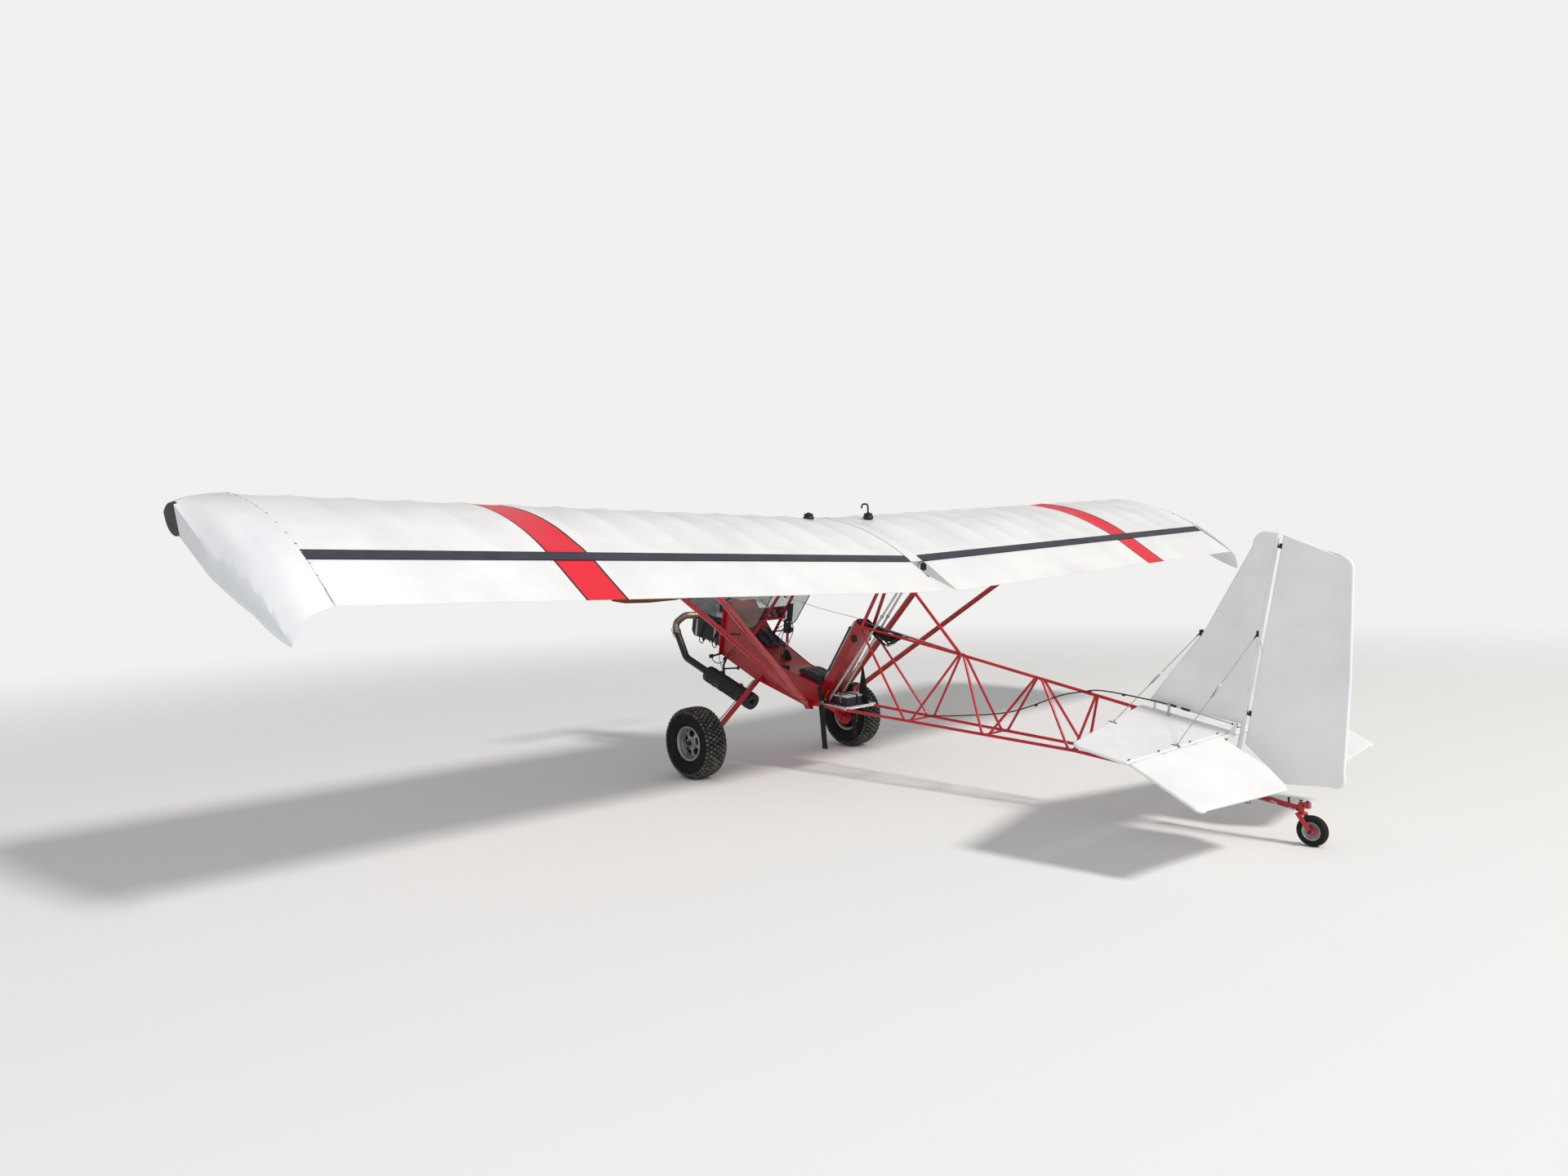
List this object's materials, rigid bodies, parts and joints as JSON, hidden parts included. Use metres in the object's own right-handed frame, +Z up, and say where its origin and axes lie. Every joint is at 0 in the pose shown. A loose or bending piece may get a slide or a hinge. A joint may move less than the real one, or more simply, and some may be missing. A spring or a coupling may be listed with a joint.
{
  "type": "microlight aircraft",
  "caption": "Small single-seat high-wing aircraft with an open tube rear fuselage, strut-braced wings with drooped tips and full-span flaperons, front propeller and tail wheel.",
  "frame": {"origin": "on the ground under the middle of the craft's box", "axes": "+X towards the craft's left wing, -Y towards its nose, +Z up, parked on its three wheels"},
  "size_m": [8.4, 4.9925, 1.891],
  "materials": {
    "white_fabric": "smooth doped cloth",
    "gloss_white": "glossy",
    "red_paint": "glossy",
    "engine_alloy": "cast",
    "black_metal": "satin",
    "bare_steel": "heat tinted",
    "bare_alloy": "satin",
    "grey_rim": "satin",
    "black_plastic": "matte",
    "tyre_rubber": "matte",
    "dark_wood": "varnished",
    "clear_sheet": "clear",
    "dark_cloth": "woven",
    "grey_cloth": "woven"
  },
  "bodies": {
    "airframe": {"back_cushion": "grey_cloth", "battery": "black_plastic", "battery_tray": "bare_alloy", "carburettors": "black_plastic", "control_stick": "black_plastic", "cooling_shroud": "black_metal", "crankcase": "engine_alloy", "cylinders": "engine_alloy", "elevator_control": "black_plastic", "exhaust_pipe": "bare_steel", "fan_housing": "black_metal", "fin": "white_fabric", "firewall": "red_paint", "flaperon_pushrods": "bare_alloy", "front_bag": "dark_cloth", "front_cabane": "red_paint", "front_strut_left": "red_paint", "front_strut_right": "red_paint", "fuel_caps": "black_plastic", "gear_leg_left": "red_paint", "gear_leg_right": "red_paint", "gearbox": "engine_alloy", "harness": "dark_cloth", "hull": "red_paint", "instrument_panel": "red_paint", "lower_longerons": "red_paint", "muffler": "black_metal", "rear_cabane": "red_paint", "rear_strut_left": "red_paint", "rear_strut_right": "red_paint", "rudder_pedals": "bare_steel", "seat_back": "red_paint", "seat_cushion": "grey_cloth", "shoulder_tubes": "red_paint", "stabiliser": "white_fabric", "tail_tube": "red_paint", "tail_wires": "bare_steel", "tie_down_left": "bare_alloy", "tie_down_right": "bare_alloy", "tie_down_tail": "bare_alloy", "top_longeron": "red_paint", "truss_tubes": "red_paint", "windscreen": "clear_sheet", "wing_centre": "white_fabric", "wing_left": "white_fabric", "wing_right": "white_fabric", "wing_tip_left": "gloss_white", "wing_tip_right": "gloss_white"},
    "flaperon_left": {"flaperon_left": "white_fabric"},
    "flaperon_right": {"flaperon_right": "white_fabric"},
    "rudder": {"rudder": "white_fabric"},
    "elevator": {"elevator": "white_fabric"},
    "wheel_left": {"tyre_left": "tyre_rubber", "rim_left": "grey_rim"},
    "wheel_right": {"tyre_right": "tyre_rubber", "rim_right": "grey_rim"},
    "tail_fork": {"tail_fork": "red_paint"},
    "tail_wheel": {"tail_tyre": "tyre_rubber", "tail_rim": "grey_rim"},
    "propeller": {"propeller": "dark_wood"}
  },
  "joints": [
    {"name": "flaperon_left", "type": "hinge", "parent": "airframe", "child": "flaperon_left", "pos_m": [0, -0.199, 1.398], "axis": [0.9993, 0, 0.0364], "range_deg": [-17, 28]},
    {"name": "flaperon_right", "type": "hinge", "parent": "airframe", "child": "flaperon_right", "pos_m": [0, -0.199, 1.398], "axis": [0.9993, 0, -0.0364], "range_deg": [-17, 28]},
    {"name": "rudder", "type": "hinge", "parent": "airframe", "child": "rudder", "pos_m": [0, 1.948, 0.48], "axis": [0, 0.1908, 0.9816], "range_deg": [-25, 25]},
    {"name": "elevator", "type": "hinge", "parent": "airframe", "child": "elevator", "pos_m": [0, 1.885, 0.523], "axis": [1, 0, 0], "range_deg": [0, 45]},
    {"name": "wheel_left", "type": "hinge", "parent": "airframe", "child": "wheel_left", "pos_m": [0.79, -1.511, 0.2425], "axis": [1, 0, 0], "continuous": true},
    {"name": "wheel_right", "type": "hinge", "parent": "airframe", "child": "wheel_right", "pos_m": [-0.79, -1.511, 0.2425], "axis": [1, 0, 0], "continuous": true},
    {"name": "tail_fork", "type": "hinge", "parent": "airframe", "child": "tail_fork", "pos_m": [0, 2.23, 0.18], "axis": [0, 0, 1], "range_deg": [-35, 35]},
    {"name": "tail_wheel", "type": "hinge", "parent": "tail_fork", "child": "tail_wheel", "pos_m": [0, 2.285, 0.0775], "axis": [1, 0, 0], "continuous": true},
    {"name": "propeller", "type": "hinge", "parent": "airframe", "child": "propeller", "pos_m": [0, -2.45558, 1.20828], "axis": [0, -0.9816, 0.1908], "continuous": true}
  ]
}
